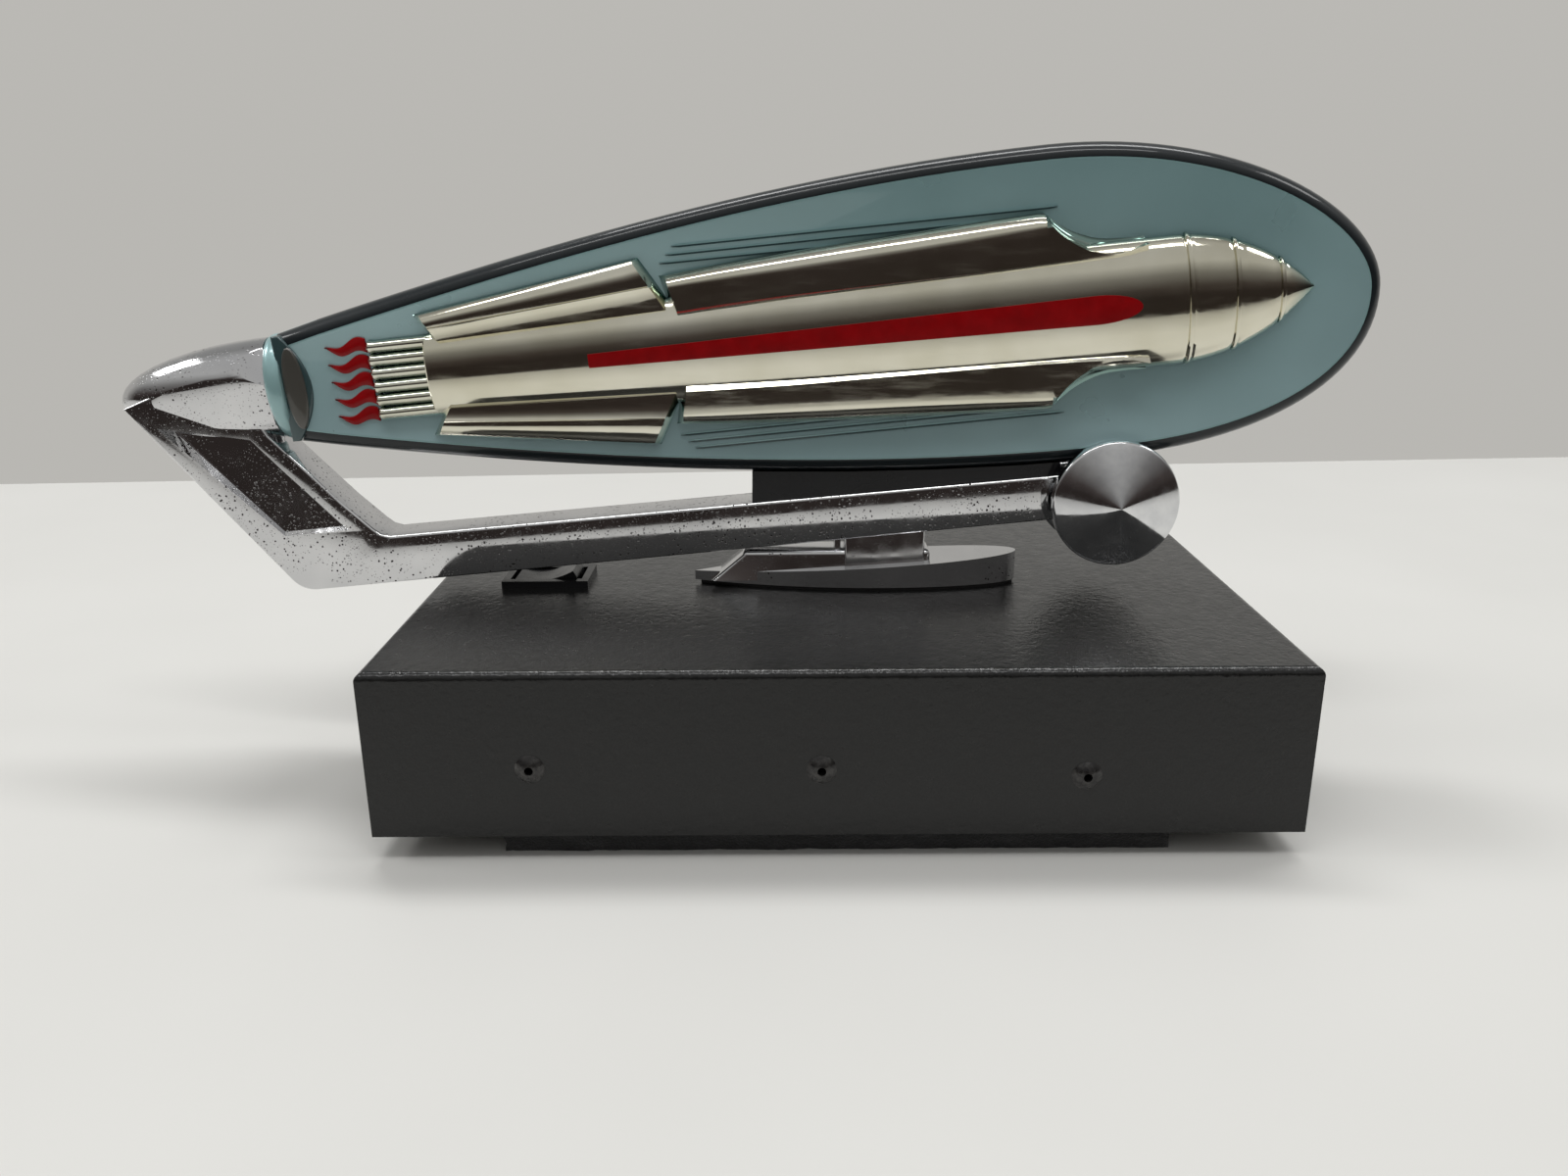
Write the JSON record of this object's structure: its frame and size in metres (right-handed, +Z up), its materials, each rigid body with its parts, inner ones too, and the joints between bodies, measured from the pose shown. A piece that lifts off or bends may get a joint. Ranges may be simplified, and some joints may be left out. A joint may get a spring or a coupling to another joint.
{
  "type": "lighted rocket hood ornament",
  "caption": "Teardrop fin hood ornament with a raised rocket relief, chrome arm and cone discs, bolted to a black folded steel display base with a rocker switch.",
  "frame": {"origin": "middle of the felt pad's underside, which is what the base stands on", "axes": "+X forward, where the rocket's nose points, +Y the ornament's left side, +Z up"},
  "size_m": [0.3039, 0.1294, 0.1501],
  "materials": {
    "black_powder_coat": "satin black powder coat with a slight orange peel",
    "black_felt": "fuzzy black felt",
    "black_rivet": "black painted rivets",
    "black_gloss_plastic": "glossy black plastic",
    "black_matte_plastic": "matt black plastic",
    "cell_wrap": "plain printed wrap",
    "plain_steel": "zinc plated steel",
    "brass": "dull brass",
    "cast_chrome": "old chrome plate with fine pitting",
    "mirror_chrome": "turned mirror chrome",
    "black_enamel": "gloss black enamel",
    "teal_acrylic": "polished smoky blue-green acrylic",
    "reflector_sheet": "silvered sheet",
    "warm_silver": "warm silver mirror coat",
    "red_enamel": "deep red gloss",
    "bulb_glass": "clear glass",
    "rubber": "black rubber",
    "wire_insulation": "red insulated wire"
  },
  "bodies": {
    "ornament": {"box_shell": "black_powder_coat", "bottom_plate": "black_powder_coat", "felt_pad": "black_felt", "pop_rivets": "black_rivet", "switch_housing": "black_gloss_plastic", "switch_terminals": "brass", "switch_plunger": "plain_steel", "battery_tray": "black_matte_plastic", "battery_cells": "cell_wrap", "battery_contacts": "plain_steel", "tray_screws": "plain_steel", "foot_casting": "cast_chrome", "foot_gasket": "rubber", "foot_studs": "plain_steel", "foot_washers": "plain_steel", "foot_nuts": "plain_steel", "arm_screws": "plain_steel", "wire_grommet": "rubber", "arm_casting": "cast_chrome", "disc_axle": "plain_steel", "disc_left": "mirror_chrome", "disc_right": "mirror_chrome", "saddle": "black_enamel", "saddle_screws": "plain_steel", "fin_left": "teal_acrylic", "fin_right": "teal_acrylic", "reflector_plate": "reflector_sheet", "rocket_left": "warm_silver", "rocket_right": "warm_silver", "stripe_left": "red_enamel", "stripe_right": "red_enamel", "flames_left": "red_enamel", "flames_right": "red_enamel", "lamp_holder": "brass", "bulb_cap": "brass", "bulb_glass": "bulb_glass", "lamp_contact": "brass", "lamp_wire": "wire_insulation", "battery_wires": "wire_insulation"},
    "rocker": {"switch_rocker": "black_gloss_plastic"}
  },
  "joints": [
    {"name": "rocker_tilt", "type": "hinge", "parent": "ornament", "child": "rocker", "pos_m": [-0.0725, 0.0032, 0.0429], "axis": [0, 1, 0], "range_deg": [0, 16]}
  ]
}
